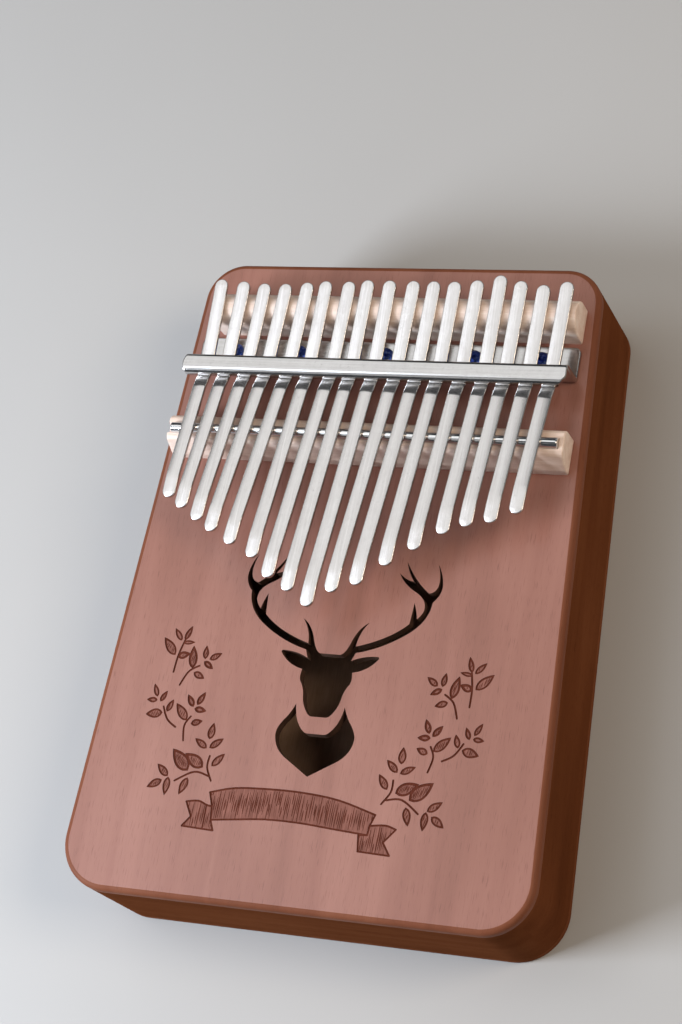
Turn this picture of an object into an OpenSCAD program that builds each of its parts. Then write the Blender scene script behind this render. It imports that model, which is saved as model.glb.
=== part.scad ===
// Seventeen-key thumb piano: a hollow wooden box with plucked steel tines.
// It lies on its back. +X is the player's right, +Y points from the player's
// end to the far end of the tines, +Z points out of the soundboard.
// The origin is the middle of the back plate's outer face.

/* [Body] */
// Length of the box, along the tines
body_length = 185; // [182:1:200]
// Width at the player's end
body_width = 135; // [130:1:145]
// Width at the far end, behind the bridges
far_width = 117.5; // [116:0.5:128]
// Height from the back to the soundboard's face
body_height = 35; // [31:1:42]
// Corner radius at the player's end
near_corner_r = 14; // [10:1:20]
// Corner radius at the far end
far_corner_r = 11; // [9:1:16]
// Thickness of the soundboard
board_t = 3; // [2:0.5:4]
// Thickness of the back plate
back_t = 3; // [2:0.5:4]
// Thickness of the side walls
wall_t = 8; // [6:0.5:8]

/* [Bridges] */
// Height of the rear bridge's rounded top above the soundboard
bridge_height = 10; // [9:0.5:11]
// Length of the rear bridge, across the box
rear_bridge_length = 107; // [106:0.5:108]
// Length of the front bridge, across the box
front_bridge_length = 116; // [112:1:117]
// Diameter of the steel saddle rod
rod_d = 3; // [2.5:0.1:3.2]
// Length of the saddle rod
rod_length = 113; // [109:1:113]

/* [Bracket] */
// Thickness of the bracket's sheet steel
sheet_t = 1.2; // [1:0.1:1.4]
// Length of the bracket, across the box
bracket_length = 112.5; // [112:0.5:114]
// Height of the bracket's lip above the soundboard
lip_height = 11; // [11:0.1:11.5]
// Diameter of the screws' shanks
screw_d = 3; // [2.5:0.5:3.5]
// Length of the screws under their heads
screw_length = 16; // [12:1:18]

/* [Tines] */
// Width of a tine
tine_width = 3.9; // [3.5:0.1:4.1]
// Thickness of a tine
tine_t = 1; // [0.8:0.1:1]
// Slope of the playing stretch, rising to the tip, in degrees
tine_slope = 5; // [4:0.5:6]
// Length of the bent tip that the thumb rests on
tip_bend_length = 6.5; // [5:0.5:8]

/* [Vibrato holes] */
// Diameter of the two vibrato holes in the back plate
vibrato_hole_d = 12; // [9:0.5:16]
// Distance of each vibrato hole from the middle line
vibrato_hole_x = 32.5; // [25:0.5:40]

/* [Hidden] */
$fn = 64;

// The tines, from the player's left. Each is set by hand, so the row is a
// little uneven: its front end lies at tip_x, tip_y and its rear end at
// back_x, back_y.
tip_x = [
    -51.5, -47, -41.5, -36.5, -30, -22.5, -16.5, -10, -3.5,
    2.5, 9, 16, 23, 30, 36, 42.5, 49
];
tip_y = [
    15.5, 12.5, 9, 6, 2.5, -1, -6.5, -10, -14,
    -9.5, -7, -1, 4, 9, 11.5, 13, 16
];
back_x = [
    -49, -42, -35.5, -29, -22.5, -17, -10, -4.5, 2,
    9, 15, 21, 27.5, 34, 40, 46.5, 53
];
back_y = [
    82, 81.5, 81, 81, 81.5, 82, 82, 82.5, 82.5,
    82.5, 82.5, 82.5, 83, 84.5, 83, 82, 83
];
tine_count = len(tip_x);

function tine_name(i) = str("tine_", i < 9 ? "0" : "", i + 1);

fit_gap = 0.05;
face_z = body_height;

// Angle between a long side of the box and the middle line
taper = atan((body_width - far_width) / 2 / body_length);
side_normal = [cos(taper), sin(taper)];
side_reach = side_normal * [body_width / 2, -body_length / 2];

// Places of the hardware along the box
rod_y = 37.6;
front_bridge_y = [32, 42];
lip_y = [53.6, 59.4];
base_end_y = 68.4;
screw_y = 63.7;
screw_x = [-45.5, -26, 0, 26, 45.5];
rear_bridge_y = 75;
rear_bridge_w = 10;
// The rear bridge is glued a little to the right of the middle line
rear_bridge_shift = 2.5;
anchor_y = [53, 73];
anchor_height = 16;

rod_z = face_z + bridge_height - rod_d / 2;
lip_z = face_z + lip_height;

// A tine's side profile. It passes under the bracket's lip, climbs to a crease,
// then runs over the saddle rod and rises to its tip. The gaps leave room for
// its swing about the rod.
crease_y = 50;
lip_gap = 1.2;
swing_gap = 0.8;
tip_bend_slope = -2;
lip_low = lip_z - sheet_t - lip_gap - tine_t;
rear_low = face_z + bridge_height + swing_gap;
profile_overrun = 5;

wood_face = [0.62, 0.40, 0.34];
wood_side = [0.42, 0.20, 0.13];
maple = [0.87, 0.76, 0.62];
nickel = [0.86, 0.86, 0.84];
steel = [0.75, 0.75, 0.76];
blue_zinc = [0.15, 0.20, 0.50];

// Points of a quadratic curve from a to b, drawn towards c, without a itself
function bow(a, c, b, steps = 5) = [
    for (i = [1:steps])
        let (t = i / steps)
        (1 - t) * (1 - t) * a + 2 * t * (1 - t) * c + t * t * b
];

function last(v) = v[len(v) - 1];

// An outline from a start point and a list of stretches. A stretch is either
// [end], a straight line, or [pull, end], a curve drawn towards pull.
function outline_points(start, stretches) = [
    start,
    for (i = [0:len(stretches) - 1])
        let (from = i == 0 ? start : last(stretches[i - 1]))
        let (s = stretches[i])
        each len(s) == 1 ? s : bow(from, s[0], s[1])
];

// The given right half and its mirror image about the middle line
function both_halves(half) = concat(
    half,
    [for (i = [len(half) - 1:-1:0]) if (half[i][0] > 0) [-half[i][0], half[i][1]]]
);

// Points along an arc of radius r about centre c, from one angle to another
function arc_points(c, r, from, to, steps = 12) = [
    for (i = [0:steps])
        let (a = from + (to - from) * i / steps)
        c + r * [cos(a), sin(a)]
];

// Centre of a corner arc of radius r that touches the long side at height y
function corner_centre(y, r) =
    [(side_reach - r - side_normal[1] * y) / side_normal[0], y];

// Outline of the box, drawn in from its outer wall by inset
module box_outline(inset) {
    near_c = corner_centre(-body_length / 2 + near_corner_r, near_corner_r);
    far_c = corner_centre(body_length / 2 - far_corner_r, far_corner_r);
    polygon(both_halves(concat(
        arc_points(near_c, near_corner_r - inset, -90, taper),
        arc_points(far_c, far_corner_r - inset, taper, 90)
    )));
}

// Stretch of the profile extruded across the box, centred on the middle line
module across(length) {
    rotate([90, 0, 90])
        linear_extrude(height = length, center = true)
            children();
}

// Sound hole, upper part: a stag's head seen from the front, with its antlers
module stag_head_outline() {
    head = [
        [[2.2, -39.9]],
        [[3.4, -39.7], [4.6, -37.3]],
        [[5.4, -35.8], [5.6, -33.8]],
        [[6.0, -31.8], [7.1, -30.4]],
        [[7.7, -29.0], [7.2, -27.0]]
    ];
    ear = [
        [[11.6, -26.2], [14.1, -22.7]],
        [[14.2, -22.1], [13.5, -22.1]],
        [[9.5, -22.1], [6.3, -23.8]]
    ];
    outer_beam = [
        [[7.2, -21.5]],
        [[14.8, -19.7], [21.4, -14.8]],
        [[26.2, -11.0], [26.3, -6.0]],
        [[28.7, -3.6], [28.3, -0.8]],
        [[27.9, 2.2], [26.1, 4.8]]
    ];
    fork = [
        [[27.6, 1.2], [27.1, -1.4]],
        [[26.6, -3.3], [24.8, -3.5]],
        [[20.6, -0.6], [17.2, 5.0]],
        [[18.3, 1.4], [20.1, -0.5]],
        [[17.6, -0.2], [15.6, 1.7]],
        [[17.2, -1.4], [21.1, -3.4]],
        [[24.5, -5.2], [24.3, -8.2]],
        [[24.0, -9.6], [22.7, -10.9]]
    ];
    inner_tine = [
        [[22.3, -8.8], [21.2, -6.4]],
        [[21.1, -9.6], [20.8, -12.4]]
    ];
    brow = [
        [[16.2, -16.9], [6.9, -19.7]],
        [[7.1, -15.7], [9.6, -12.8]],
        [[6.9, -14.4], [5.6, -18.0]],
        [[4.4, -21.9], [2.9, -22.3]]
    ];
    stretches = concat(head, ear, outer_beam, fork, inner_tine, brow, [[[0, -22.3]]]);
    polygon(both_halves(outline_points([0, -39.9], stretches)));
}

// Sound hole, lower part: the stag's chest, cut round its muzzle
module stag_chest_outline() {
    stretches = [
        [[2.4, -44.6]],
        [[3.7, -44.5], [5.1, -42.4]],
        [[6.5, -40.5], [7.0, -36.6]],
        [[8.0, -39.4], [9.7, -41.4]],
        [[11.4, -43.8], [11.3, -45.4]],
        [[11.0, -49.4], [7.2, -51.8]],
        [[3.0, -54.4], [0, -56.3]]
    ];
    polygon(both_halves(outline_points([0, -44.6], stretches)));
}

module screw_holes(depth) {
    for (x = screw_x)
        translate([x, screw_y, -depth])
            cylinder(d = screw_d + 2 * fit_gap, h = 2 * depth);
}

module soundboard() {
    color(wood_face)
        translate([0, 0, face_z - board_t])
            difference() {
                linear_extrude(height = board_t)
                    difference() {
                        box_outline(0);
                        stag_head_outline();
                        stag_chest_outline();
                    }
                screw_holes(body_height);
            }
}

module side_rim() {
    color(wood_side)
        translate([0, 0, back_t])
            linear_extrude(height = body_height - back_t - board_t)
                difference() {
                    box_outline(0);
                    box_outline(wall_t);
                }
}

module back_plate() {
    color(wood_side)
        difference() {
            linear_extrude(height = back_t)
                box_outline(0);
            for (side = [-1, 1])
                translate([side * vibrato_hole_x, -7, -1])
                    cylinder(d = vibrato_hole_d, h = back_t + 2);
        }
}

// Hardwood block under the soundboard that the bracket's screws bite into
module anchor_block() {
    depth = anchor_y[1] - anchor_y[0];
    color(maple)
        translate([0, 0, face_z - board_t - anchor_height])
            difference() {
                linear_extrude(height = anchor_height)
                    intersection() {
                        box_outline(wall_t + fit_gap);
                        translate([-body_width / 2, anchor_y[0]])
                            square([body_width, depth]);
                    }
                translate([0, 0, anchor_height])
                    screw_holes(screw_length - board_t);
            }
}

module rear_bridge() {
    top_r = rear_bridge_w / 2;
    color(maple)
        translate([rear_bridge_shift, rear_bridge_y, face_z])
            across(rear_bridge_length)
                union() {
                    translate([-top_r, 0])
                        square([rear_bridge_w, bridge_height - top_r]);
                    translate([0, bridge_height - top_r])
                        circle(r = top_r);
                }
}

// Front bridge: a small foot face, a sloping front and a groove for the rod
module front_bridge() {
    near = front_bridge_y[0];
    far = front_bridge_y[1];
    top = rod_z;
    color(maple)
        across(front_bridge_length)
            difference() {
                polygon([
                    [near, face_z], [far, face_z],
                    [far, top - 1.6], [far - 1.4, top - 0.2],
                    [rod_y - 2.4, top - 0.2], [rod_y - 3.4, top - 0.8],
                    [near, face_z + 2.6]
                ]);
                translate([rod_y, rod_z])
                    circle(d = rod_d + 2 * fit_gap);
            }
}

module saddle_rod() {
    color(steel)
        translate([-rod_length / 2, rod_y, rod_z])
            rotate([0, 90, 0])
                cylinder(d = rod_d, h = rod_length);
}

// Bracket: base flange, slotted upright web and a lip that holds the tines down
module pressure_bracket() {
    corner_r = 2;
    web_y = lip_y[1] - sheet_t;
    window_w = tine_width + 0.9;
    window_low = face_z + 3.5;
    window_high = lip_z - sheet_t;
    half = bracket_length / 2;
    color(nickel)
        difference() {
            union() {
                translate([-half, web_y, face_z])
                    cube([bracket_length, base_end_y - web_y, sheet_t]);
                translate([-half, web_y, face_z])
                    cube([bracket_length, sheet_t, lip_height]);
                translate([0, 0, lip_z - sheet_t])
                    linear_extrude(height = sheet_t)
                        union() {
                            translate([-half, lip_y[0] + corner_r])
                                square([bracket_length, lip_y[1] - lip_y[0] - corner_r]);
                            translate([-half + corner_r, lip_y[0]])
                                square([bracket_length - 2 * corner_r, corner_r]);
                            for (side = [-1, 1])
                                translate([side * (half - corner_r), lip_y[0] + corner_r])
                                    circle(r = corner_r);
                        }
            }
            for (i = [0:tine_count - 1])
                translate([tine_x(i, web_y) - window_w / 2, web_y - 1, window_low])
                    cube([window_w, sheet_t + 2, window_high - window_low]);
            screw_holes(body_height + sheet_t + 1);
        }
}

// Five round-head wood screws, in a row through the bracket's base
module bracket_screws() {
    head_r = 3;
    head_h = 2;
    point = 3;
    color(blue_zinc)
        for (x = screw_x)
            translate([x, screw_y, face_z + sheet_t])
                difference() {
                    rotate_extrude()
                        polygon([
                            [0, head_h], [head_r * 0.6, head_h], [head_r, head_h * 0.45],
                            [head_r, 0], [screw_d / 2, 0],
                            [screw_d / 2, point - screw_length], [0, -screw_length]
                        ]);
                    for (turn = [0, 90])
                        rotate([0, 0, turn])
                            translate([-1.6, -0.35, head_h - 0.9])
                                cube([3.2, 0.7, 1]);
                }
}

// Middle line of tine i, as x at a given y
function tine_x(i, y) =
    tip_x[i] + (back_x[i] - tip_x[i]) * (y - tip_y[i]) / (back_y[i] - tip_y[i]);

// Underside of the stretch that runs over the saddle rod, as z at a given y
function front_low(y) =
    rod_z + (rod_d / 2 + fit_gap) / cos(tine_slope) + (rod_y - y) * tan(tine_slope);

// Side profile of a tine whose tip is at y = end
module tine_profile(end) {
    bend_y = end + tip_bend_length;
    bend_z = front_low(bend_y);
    rear_rise = (rear_low - lip_low) / (rear_bridge_y - lip_y[1]);
    rear_run = max(back_y) + profile_overrun - lip_y[1];
    low_line = [
        [end - profile_overrun,
            bend_z + (tip_bend_length + profile_overrun) * tan(tip_bend_slope)],
        [bend_y, bend_z],
        [crease_y, front_low(crease_y)],
        [lip_y[0] - 0.2, lip_low],
        [lip_y[1] + 0.2, lip_low],
        [lip_y[1] + rear_run, lip_low + rear_run * rear_rise]
    ];
    high_line = [for (i = [len(low_line) - 1:-1:0]) low_line[i] + [0, tine_t]];
    polygon(concat(low_line, high_line));
}

// Seen from above: a straight strip with round ends
module tine_plan(i) {
    r = tine_width / 2;
    lean = atan2(back_x[i] - tip_x[i], back_y[i] - tip_y[i]);
    run = norm([back_x[i] - tip_x[i], back_y[i] - tip_y[i]]);
    translate([tip_x[i], tip_y[i]])
        rotate(-lean) {
            translate([0, r])
                circle(r = r);
            translate([0, run - r])
                circle(r = r);
            translate([-r, r])
                square([tine_width, run - 2 * r]);
        }
}

module tine(i) {
    color(nickel)
        intersection() {
            across(body_width)
                tine_profile(tip_y[i]);
            translate([0, 0, face_z])
                linear_extrude(height = body_height)
                    tine_plan(i);
        }
}

soundboard();
side_rim();
back_plate();
anchor_block();
rear_bridge();
front_bridge();
saddle_rod();
pressure_bracket();
bracket_screws();
for (i = [0:tine_count - 1])
    tine(i);
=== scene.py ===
"""Looks of the seventeen-key thumb piano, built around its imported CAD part.

Shapes are worked out in millimetres, in the CAD part's own frame, and turned
into metres where a mesh is made.
"""
import math
import random

import bmesh
import bpy
from mathutils import Matrix, Vector
from mathutils.geometry import delaunay_2d_cdt


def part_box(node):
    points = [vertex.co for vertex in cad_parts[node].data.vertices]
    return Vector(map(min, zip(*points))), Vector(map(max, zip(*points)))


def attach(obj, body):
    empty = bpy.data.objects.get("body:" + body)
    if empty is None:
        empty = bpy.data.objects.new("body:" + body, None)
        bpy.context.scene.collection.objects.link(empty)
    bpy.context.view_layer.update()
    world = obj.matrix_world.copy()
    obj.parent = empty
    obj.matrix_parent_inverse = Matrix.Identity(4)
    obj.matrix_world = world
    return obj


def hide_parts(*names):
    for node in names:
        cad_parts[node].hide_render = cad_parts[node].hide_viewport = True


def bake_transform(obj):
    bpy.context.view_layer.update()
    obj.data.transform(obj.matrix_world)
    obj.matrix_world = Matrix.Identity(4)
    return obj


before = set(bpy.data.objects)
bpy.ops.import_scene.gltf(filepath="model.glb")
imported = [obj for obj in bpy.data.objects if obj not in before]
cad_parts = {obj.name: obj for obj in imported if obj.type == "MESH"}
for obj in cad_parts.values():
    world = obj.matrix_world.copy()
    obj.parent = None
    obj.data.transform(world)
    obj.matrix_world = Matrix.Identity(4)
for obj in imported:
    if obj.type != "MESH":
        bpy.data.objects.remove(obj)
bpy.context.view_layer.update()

MM = 0.001

# ---------------- sizes, mm
BODY_LENGTH = 185.0
BODY_WIDTH = 135.0
FAR_WIDTH = 117.5
NEAR_CORNER_R = 14.0
FAR_CORNER_R = 11.0
CORNER_STEPS = 20
WALL_T = 8.0
SEAM = 0.12  # chamfer that draws a fine line between two glued pieces

FACE_ROUND = 1.5
BACK_ROUND = 1.2
ROUND_STEPS = 6
FLAT_MARGIN = 0.5  # from the end of a round edge to the flat face's own points
VIBRATO_R = 6.0
VIBRATO_XY = ((-32.5, -7.0), (32.5, -7.0))

TINES = [f"tine_{number:02d}" for number in range(1, 18)]
TINE_W = 3.9
TINE_T = 1.0
TINE_EDGE = 0.22
TINE_SLOPE = math.tan(math.radians(5.0))
TIP_SLOPE = math.tan(math.radians(-2.0))
TIP_BEND = 6.5  # from a tine's tip back to where it turns level
TINE_END_STEPS = 10
TINE_QUAD = 4.0  # about the longest face along a tine
CREASE_Y = 50.0  # where a tine turns up towards the lip
GRIP_BACK = 0.9  # from the lip's front to where it holds a tine down
BEND_STEPS = 4

SHEET_T = 1.2
SHEET_BEND_R = 1.2
LIP_DROP = 2.5
LIP_REAR_BEND_R = 0.45
LIP_LEFT_END_R = 2.3
LIP_RIGHT_CORNER_R = 2.6
WEB_REAR = 5.8  # from the lip's front to the web's rear face
BASE_CORNER_R = 1.6
WINDOW_LOW = 38.5  # lower edge of the windows that the tines pass through
WINDOW_SPACE = 0.45  # between a tine and the side of its window
END_STEP = 0.4  # the sheet's last column, which keeps its end's edge crisp
SCREW_X = (-45.5, -26.0, 0.0, 26.0, 45.5)
SCREW_Y = 63.7
SCREW_TURNS = (20, 64, 5, 40, 78)
PILOT_R = 1.55

LINE_DEPTH = 0.2
HATCH_DEPTH = 0.14
FILL_DEPTH = 0.08


def box_mm(node):
    """A CAD node's lowest and highest corner, in millimetres."""
    lo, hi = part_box(node)
    return lo / MM, hi / MM


BOARD_LO, BOARD_HI = box_mm("soundboard")
RIM_LO, RIM_HI = box_mm("side_rim")
ROD_LO, ROD_HI = box_mm("saddle_rod")
FACE_Z = BOARD_HI.z
ROD_R = (ROD_HI.z - ROD_LO.z) / 2
ROD_Y = (ROD_LO.y + ROD_HI.y) / 2
ROD_Z = (ROD_LO.z + ROD_HI.z) / 2
BRACKET_LO, BRACKET_HI = box_mm("pressure_bracket")
LIP_FRONT = BRACKET_LO.y
LIP_LOW = BRACKET_HI.z - LIP_DROP
WEB_Y = LIP_FRONT + WEB_REAR - SHEET_T / 2
REAR_LO, REAR_HI = box_mm("rear_bridge")
REAR_Y = (REAR_LO.y + REAR_HI.y) / 2


# ---------------- outlines
def quarter(steps, first=0):
    """The sine and cosine at even steps through a quarter turn."""
    angles = [math.pi / 2 * i / steps for i in range(first, steps + 1)]
    return [(math.sin(a), math.cos(a)) for a in angles]


def arc(centre, radius, start, end, steps):
    """Points on an arc, from one angle to another in degrees."""
    points = []
    for i in range(steps + 1):
        a = math.radians(start + (end - start) * i / steps)
        points.append((centre[0] + radius * math.cos(a), centre[1] + radius * math.sin(a)))
    return points


def circle(centre, radius, steps):
    return arc(centre, radius, 0, 360, steps)[:-1]


def box_outline(inset):
    """The box's outline seen from above, anticlockwise, drawn in by inset."""
    taper = math.atan((BODY_WIDTH - FAR_WIDTH) / 2 / BODY_LENGTH)
    nx, ny = math.cos(taper), math.sin(taper)
    reach = nx * BODY_WIDTH / 2 - ny * BODY_LENGTH / 2
    right = []
    for y, r, start, end in (
        (-BODY_LENGTH / 2 + NEAR_CORNER_R, NEAR_CORNER_R, -90, math.degrees(taper)),
        (BODY_LENGTH / 2 - FAR_CORNER_R, FAR_CORNER_R, math.degrees(taper), 90),
    ):
        centre = ((reach - r - ny * y) / nx, y)
        right += arc(centre, r - inset, start, end, CORNER_STEPS)
    return right + [(-x, y) for x, y in reversed(right)]


def bow(a, c, b, steps):
    """A quadratic curve from a to b drawn towards c, without a itself."""
    points = []
    for i in range(1, steps + 1):
        t = i / steps
        points.append(tuple(
            (1 - t) ** 2 * p + 2 * t * (1 - t) * q + t * t * r for p, q, r in zip(a, c, b)
        ))
    return points


def half_outline(start, stretches, steps):
    """Points of a half outline: a stretch is (end,) for a line, (pull, end) for a curve."""
    points = [start]
    for stretch in stretches:
        if len(stretch) == 1:
            points.append(stretch[0])
        else:
            points += bow(points[-1], stretch[0], stretch[1], steps)
    return points


def both_halves(half):
    return half + [(-x, y) for x, y in reversed(half) if x > 0]


def anticlockwise(loop):
    area = sum(a[0] * b[1] - a[1] * b[0] for a, b in zip(loop, loop[1:] + loop[:1]))
    return loop if area > 0 else loop[::-1]


def rounded(loop, cuts, steps):
    """A closed loop with each corner rounded off, starting cuts[i] before the corner."""
    points = []
    count = len(loop)
    for i, corner in enumerate(loop):
        cut = cuts[i]
        if cut <= 0:
            points.append(corner)
            continue
        ends = []
        for other in (loop[i - 1], loop[(i + 1) % count]):
            way = Vector(other) - Vector(corner)
            ends.append(tuple(Vector(corner) + way.normalized() * min(cut, way.length * 0.48)))
        points.append(ends[0])
        points += bow(ends[0], corner, ends[1], steps)
    return points


def shrink(loop, inset):
    """An anticlockwise closed loop drawn inwards by inset."""
    points = []
    count = len(loop)
    for i in range(count):
        before, here, after = (Vector(loop[j % count]) for j in (i - 1, i, i + 1))
        into = (here - before).normalized()
        out = (after - here).normalized()
        n1 = Vector((-into.y, into.x))
        n2 = Vector((-out.y, out.x))
        points.append(tuple(here + (n1 + n2) * inset / max(0.35, 1 + n1.dot(n2))))
    return points


# Sound hole: the same stag as in the CAD part, with finer curves
STAG_HEAD = (
    ((2.2, -39.9),), ((3.4, -39.7), (4.6, -37.3)),
    ((5.4, -35.8), (5.6, -33.8)), ((6.0, -31.8), (7.1, -30.4)),
    ((7.7, -29.0), (7.2, -27.0)), ((11.6, -26.2), (14.1, -22.7)),
    ((14.2, -22.1), (13.5, -22.1)), ((9.5, -22.1), (6.3, -23.8)),
    ((7.2, -21.5),), ((14.8, -19.7), (21.4, -14.8)),
    ((26.2, -11.0), (26.3, -6.0)), ((28.7, -3.6), (28.3, -0.8)),
    ((27.9, 2.2), (26.1, 4.8)), ((27.6, 1.2), (27.1, -1.4)),
    ((26.6, -3.3), (24.8, -3.5)), ((20.6, -0.6), (17.2, 5.0)),
    ((18.3, 1.4), (20.1, -0.5)), ((17.6, -0.2), (15.6, 1.7)),
    ((17.2, -1.4), (21.1, -3.4)), ((24.5, -5.2), (24.3, -8.2)),
    ((24.0, -9.6), (22.7, -10.9)), ((22.3, -8.8), (21.2, -6.4)),
    ((21.1, -9.6), (20.8, -12.4)), ((16.2, -16.9), (6.9, -19.7)),
    ((7.1, -15.7), (9.6, -12.8)), ((6.9, -14.4), (5.6, -18.0)),
    ((4.4, -21.9), (2.9, -22.3)), ((0, -22.3),),
)
STAG_CHEST = (
    ((2.4, -44.6),), ((3.7, -44.5), (5.1, -42.4)),
    ((6.5, -40.5), (7.0, -36.6)), ((8.0, -39.4), (9.7, -41.4)),
    ((11.4, -43.8), (11.3, -45.4)), ((11.0, -49.4), (7.2, -51.8)),
    ((3.0, -54.4), (0, -56.3)),
)
HEAD_HOLE = both_halves(half_outline((0, -39.9), STAG_HEAD, 9))
CHEST_HOLE = anticlockwise(both_halves(half_outline((0, -44.6), STAG_CHEST, 9)))


# ---------------- mesh making
class Shell:
    """Collects points in millimetres, and faces with the number of their material."""

    def __init__(self):
        self.points = []
        self.faces = []
        self.slots = []

    def ring(self, points):
        first = len(self.points)
        self.points += [tuple(p) for p in points]
        return list(range(first, len(self.points)))

    def level(self, outline, z):
        """A ring of (x, y) points at one height."""
        return self.ring([(x, y, z) for x, y in outline])

    def outlines(self, steps):
        """Rings of the box's outline, one for each (inset, height)."""
        return [self.level(box_outline(inset), z) for inset, z in steps]

    def section(self, x, profile):
        """A ring of (y, z) points at one place along X."""
        return self.ring([(x, y, z) for y, z in profile])

    def face(self, ring, slot=0):
        self.faces.append(list(ring))
        self.slots.append(slot)

    def skin(self, lower, upper, slot=0):
        """Quads between two closed rings with as many points as each other."""
        count = len(lower)
        for i in range(count):
            j = (i + 1) % count
            self.face((lower[i], lower[j], upper[j], upper[i]), slot)

    def loft(self, rings, slot=0):
        for lower, upper in zip(rings, rings[1:]):
            self.skin(lower, upper, slot)

    def solid(self, rings):
        """A closed solid through the rings."""
        self.loft(rings)
        self.face(rings[0])
        self.face(rings[-1])

    def sheet(self, outer, holes, slot):
        """A flat face between an outer ring and the rings of its holes."""
        index, loops = [], []
        for ring in (outer, *holes):
            loops.append(list(range(len(index), len(index) + len(ring))))
            index += ring
        flat = [Vector(self.points[i][:2]) for i in index]
        _, _, triangles, sources, _, origins = delaunay_2d_cdt(flat, [], loops, 1, 1e-6, True)
        for triangle, origin in zip(triangles, origins):
            if list(origin) == [0]:
                self.face([index[sources[i][0]] for i in triangle], slot)

    def made(self, name, materials, sharp=32.0):
        """The object, in metres, smooth, with its normals facing out."""
        mesh = bpy.data.meshes.new(name)
        mesh.from_pydata([[c * MM for c in p] for p in self.points], [], self.faces)
        for material in materials:
            mesh.materials.append(material)
        mesh.polygons.foreach_set("material_index", self.slots)
        shell = bmesh.new()
        shell.from_mesh(mesh)
        bmesh.ops.recalc_face_normals(shell, faces=shell.faces)
        shell.to_mesh(mesh)
        shell.free()
        return placed(name, mesh, sharp)


def placed(name, mesh, sharp):
    """An object for a mesh, smooth apart from its edges sharper than an angle."""
    mesh.shade_smooth()
    mesh.set_sharp_from_angle(angle=math.radians(sharp))
    obj = bpy.data.objects.new(name, mesh)
    bpy.context.scene.collection.objects.link(obj)
    return obj


def apply_modifiers(obj):
    """Bakes an object's modifiers into its mesh."""
    graph = bpy.context.evaluated_depsgraph_get()
    mesh = bpy.data.meshes.new_from_object(obj.evaluated_get(graph))
    obj.modifiers.clear()
    obj.data = mesh


def soften(obj, width, segments, angle):
    """Rounds off an object's edges sharper than an angle. The width is in millimetres."""
    bevel = obj.modifiers.new("soft edges", "BEVEL")
    bevel.width = width * MM
    bevel.segments = segments
    bevel.limit_method = "ANGLE"
    bevel.angle_limit = math.radians(angle)
    apply_modifiers(obj)
    obj.data.shade_smooth()
    obj.data.set_sharp_from_angle(angle=math.radians(angle))


def show(obj, node):
    """The object stands for a CAD node that is fixed to the case."""
    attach(obj, "case")
    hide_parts(node)


# ---------------- materials
class Paint:
    """A material and the nodes that feed its Principled shader."""

    def __init__(self, name, roughness=0.5, metallic=0.0, coat=0.0, coat_roughness=0.2, gloss=0.5):
        self.material = bpy.data.materials.new(name)
        self.material.use_nodes = True
        self.tree = self.material.node_tree
        self.shader = self.tree.nodes["Principled BSDF"]
        for socket, value in (
            ("Roughness", roughness), ("Metallic", metallic), ("Specular IOR Level", gloss),
            ("Coat Weight", coat), ("Coat Roughness", coat_roughness),
        ):
            self.shader.inputs[socket].default_value = value
        self.place = self.node("TexCoord").outputs["Object"]

    def node(self, kind, **settings):
        """A new node, with its inputs set. An underscore stands for a space in their names."""
        node = self.tree.nodes.new("ShaderNode" + kind)
        for name, value in settings.items():
            node.inputs[name.replace("_", " ")].default_value = value
        return node

    def link(self, source, target):
        self.tree.links.new(source, target)

    def noise(self, scale, detail, rough, distortion=0.0, shift=0.0):
        """Noise in features to a millimetre along X, Y and Z; shift sets patterns apart."""
        mapping = self.node(
            "Mapping", Scale=[s / MM for s in scale], Location=(shift, shift * 0.7, shift * 0.3),
        )
        self.link(self.place, mapping.inputs["Vector"])
        noise = self.node(
            "TexNoise", Scale=1.0, Detail=detail, Roughness=rough, Distortion=distortion,
        )
        self.link(mapping.outputs["Vector"], noise.inputs["Vector"])
        return noise.outputs["Fac"]

    def ramp(self, value, stops):
        """A value turned into a colour by (position, colour) stops."""
        node = self.node("ValToRGB")
        elements = node.color_ramp.elements
        stops = list(stops)
        while len(elements) < len(stops):
            elements.new(0.5)
        for element, (position, colour) in zip(elements, stops):
            element.position = position
            element.color = (*colour, 1.0)
        self.link(value, node.inputs["Fac"])
        return node.outputs["Color"]

    def spread(self, value, low, high, to_low=0.0, to_high=1.0):
        """A value stretched from one range to another, held at the ends."""
        node = self.node(
            "MapRange", From_Min=low, From_Max=high, To_Min=to_low, To_Max=to_high,
        )
        self.link(value, node.inputs["Value"])
        return node.outputs["Result"]

    def speck(self, base, share, colour):
        """The base with a plain colour over a share of it."""
        node = self.node("Mix")
        node.data_type = "RGBA"
        self.link(share, node.inputs[0])
        self.link(base, node.inputs[6])
        node.inputs[7].default_value = (*colour, 1.0)
        return node.outputs[2]

    def sum(self, first, second, share=1.0):
        """first + second * share."""
        node = self.node("Math")
        node.operation = "MULTIPLY_ADD"
        self.link(second, node.inputs[0])
        node.inputs[1].default_value = share
        self.link(first, node.inputs[2])
        return node.outputs["Value"]

    def colour(self, source):
        self.link(source, self.shader.inputs["Base Color"])

    def roughness(self, source):
        self.link(source, self.shader.inputs["Roughness"])

    def bump(self, height, depth):
        """Bump from a value between 0 and 1. The depth is in millimetres."""
        node = self.node("Bump", Distance=depth * MM)
        self.link(height, node.inputs["Height"])
        self.link(node.outputs["Normal"], self.shader.inputs["Normal"])


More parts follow.
